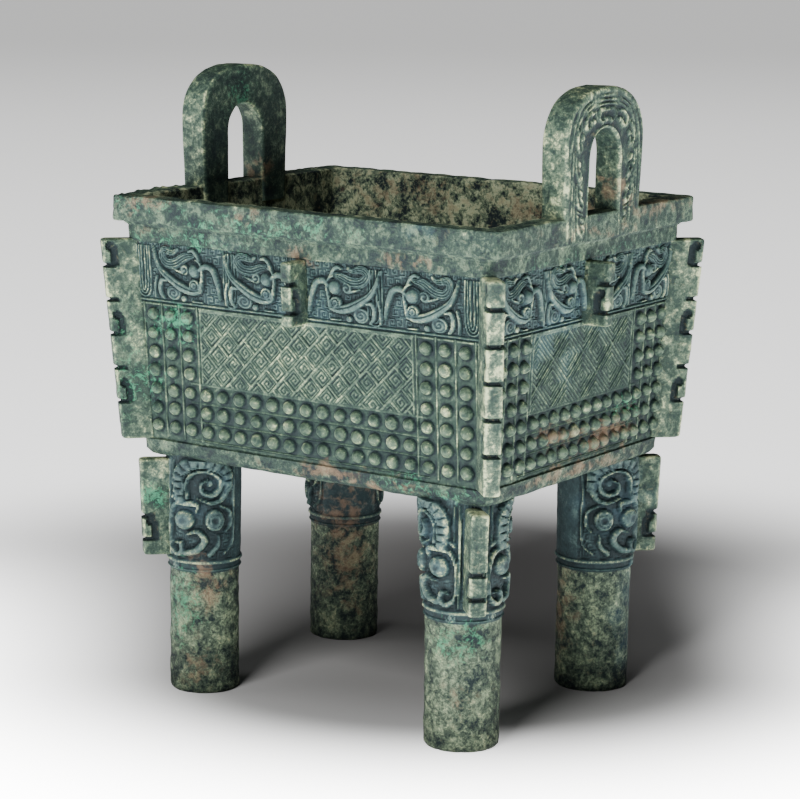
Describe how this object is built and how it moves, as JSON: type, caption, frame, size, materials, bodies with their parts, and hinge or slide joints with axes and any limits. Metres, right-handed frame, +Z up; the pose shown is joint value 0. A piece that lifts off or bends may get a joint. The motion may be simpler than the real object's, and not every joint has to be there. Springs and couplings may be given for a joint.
{
  "type": "bronze ding vessel",
  "caption": "Rectangular cast bronze ritual food vessel on round legs, open at the top, with upright loop handles, notched flanges, bird band, nipple rows and horned leg masks.",
  "frame": {"origin": "on the floor, at the middle of the four feet", "axes": "+Z up to the handle tops; X along the long side of the body, with a handle at each end; Y along the short side, with a long ornamented wall at -Y and one at +Y"},
  "size_m": [0.2116, 0.1792, 0.2762],
  "materials": {
    "patinated_bronze": "matt green and blue-green patina with dark filled grooves, pale worn edges and brown-red patches"
  },
  "bodies": {
    "root": {"vessel": "patinated_bronze"}
  },
  "joints": []
}
